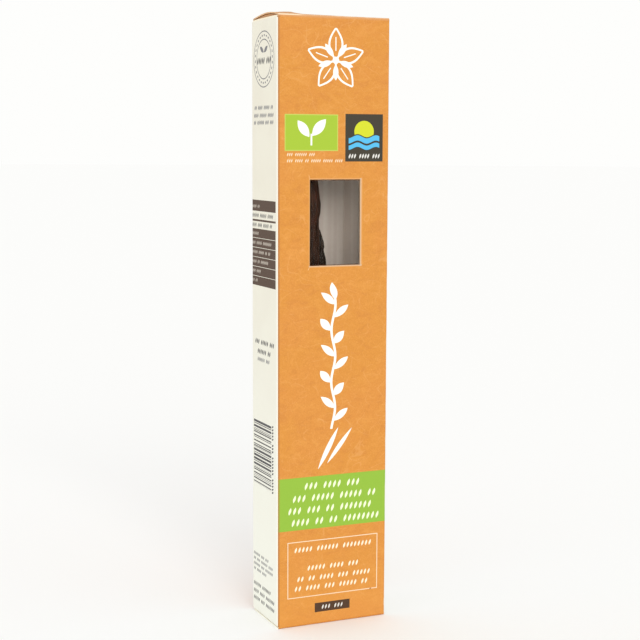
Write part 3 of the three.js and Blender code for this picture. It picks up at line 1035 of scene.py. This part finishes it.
# The film, with linear colours but for its painted rim shadow's

FILM_TINT = (0.985, 0.98, 0.97, 1)
FILM_MIRROR = (0.9, 0.9, 0.88, 1)
FILM_IOR = 1.13
FILM_ROUGHNESS = 0.07
FILM_RELIEF = 0.6
SPECK_AMOUNT = 0.3
# Painted shadow on the film along the window's top and bottom, where the board's edge shades it
RIM_SHADOW_COLOUR = (112, 70, 46)
RIM_SHADOW_AMOUNT = 0.35
UNSHADOWED_BOX = (WINDOW_LEFT, WINDOW_RIGHT + 1, WINDOW_LOW + 0.3, WINDOW_HIGH - 0.35)


def add_film():
    """Clear film with a faint mirror, specks of dust, and painted shadow along its rim under
    the board's edge.
    """
    piece = piece_from("window_film", "window_sheet")
    surface = Surface("clear_film")
    tree = surface.tree
    clear = tree.nodes.new("ShaderNodeBsdfTransparent")
    clear.inputs["Color"].default_value = FILM_TINT
    fresnel = tree.nodes.new("ShaderNodeFresnel")
    fresnel.inputs["IOR"].default_value = FILM_IOR
    specks = surface.noise(0.4, detail=0, shift=31).ramp(0.85, 0.88) * SPECK_AMOUNT
    gloss = (Field(tree, fresnel.outputs[0]) | specks).socket
    film = mixed_shader(tree, gloss, clear.outputs[0], surface.shader.outputs[0])
    # Painted shadow along the film's rim
    rim_shade = tree.nodes.new("ShaderNodeBsdfDiffuse")
    rim_shade.inputs["Color"].default_value = linear(RIM_SHADOW_COLOUR)
    rim_shaded = ((1.0 - box(surface.x, surface.z, *UNSHADOWED_BOX)) * RIM_SHADOW_AMOUNT).socket
    tree.links.new(
        mixed_shader(tree, rim_shaded, film, rim_shade.outputs[0]), surface.out.inputs["Surface"]
    )
    surface.set(Base_Color=FILM_MIRROR, Metallic=1.0, Roughness=FILM_ROUGHNESS)
    surface.bump(surface.noise(14, detail=1, shift=9), FILM_RELIEF)
    piece.data.materials.append(surface.material)


# The pods. The skin's relief is three noises: depth, and lumps per millimetre across and along

POD_RELIEF = ((0.22, 0.9, 0.11), (0.14, 2.4, 0.22), (0.1, 0.8, 0.7))
POD_FINENESS = 2  # levels of subdivision
POD_ROUGHNESS, POD_ROUGHNESS_RANGE = 0.34, 0.3
POD_BUMP = 0.3

# Swellings of each pod as (level, length, height), and its dark, its light and its patches
FRONT_KNOTS = ((139, 3, 0.45),)
REAR_KNOTS = ((126.4, 1.4, 0.3), (124.4, 0.6, -0.35), (121, 1.5, 0.2))
FRONT_SKIN = ((31, 15, 6), (62, 35, 19), ((80, 33, 15), 0.5))
REAR_SKIN = ((32, 23, 17), (58, 46, 36), ((54, 40, 29), 0.5))


def skin_relief(place, seed, knots):
    """How far the skin stands out at a place. The seed moves each noise along its own axis."""
    x, y, z = place
    relief = 0
    for axis, (depth, across, along) in enumerate(POD_RELIEF):
        spot = [x * across, y * across, z * along]
        spot[axis] += seed
        relief += depth * noise.noise(Vector(spot))
    return relief + sum(
        height * math.exp(-(((z - level) / length) ** 2)) for level, length, height in knots
    )


def add_pod(node, name, seed, knots, skin):
    piece = piece_from(node, name)
    modifier = piece.modifiers.new("finer", "SUBSURF")
    modifier.levels = modifier.render_levels = POD_FINENESS
    graph = bpy.context.evaluated_depsgraph_get()
    mesh = bpy.data.meshes.new_from_object(piece.evaluated_get(graph))
    piece.modifiers.clear()
    piece.data = mesh
    normals = [vertex.normal.copy() for vertex in mesh.vertices]
    for vertex, normal in zip(mesh.vertices, normals):
        vertex.co += normal * skin_relief(vertex.co / MM, seed, knots) * MM
    mesh.shade_smooth()
    mesh.materials.append(pod_material(name, seed, *skin))


def pod_material(name, seed, dark, light, patches):
    surface = Surface(name + "_skin")
    ridge = surface.noise(0.9, detail=4, stretch=(1, 1, 0.12), shift=seed)
    patch = surface.noise(5, detail=3, stretch=(1, 1, 0.4), shift=seed + 4)
    colour = surface.mix(dark, light, ridge.ramp(0.35, 0.7))
    colour = surface.lay(colour, patches, patch.ramp(0.55, 0.75))
    surface.set(Base_Color=colour, Specular_IOR_Level=0.15)
    surface.set(Roughness=ridge.math("MULTIPLY_ADD", POD_ROUGHNESS_RANGE, POD_ROUGHNESS))
    surface.bump(ridge, POD_BUMP)
    return surface.material


add_camera()
add_sky()
add_floor()
add_sun("key", azimuth=-10, elevation=25, strength=1.005, spread=35, colour=KEY_COLOUR)
add_sun("side", azimuth=-80, elevation=20, strength=0.2, spread=60, colour=SIDE_COLOUR)
add_carton()
add_film()
add_pod("pod_1", "front_pod", seed=3.0, knots=FRONT_KNOTS, skin=FRONT_SKIN)
add_pod("pod_2", "rear_pod", seed=8.0, knots=REAR_KNOTS, skin=REAR_SKIN)
bpy.context.scene.view_settings.view_transform = "Standard"
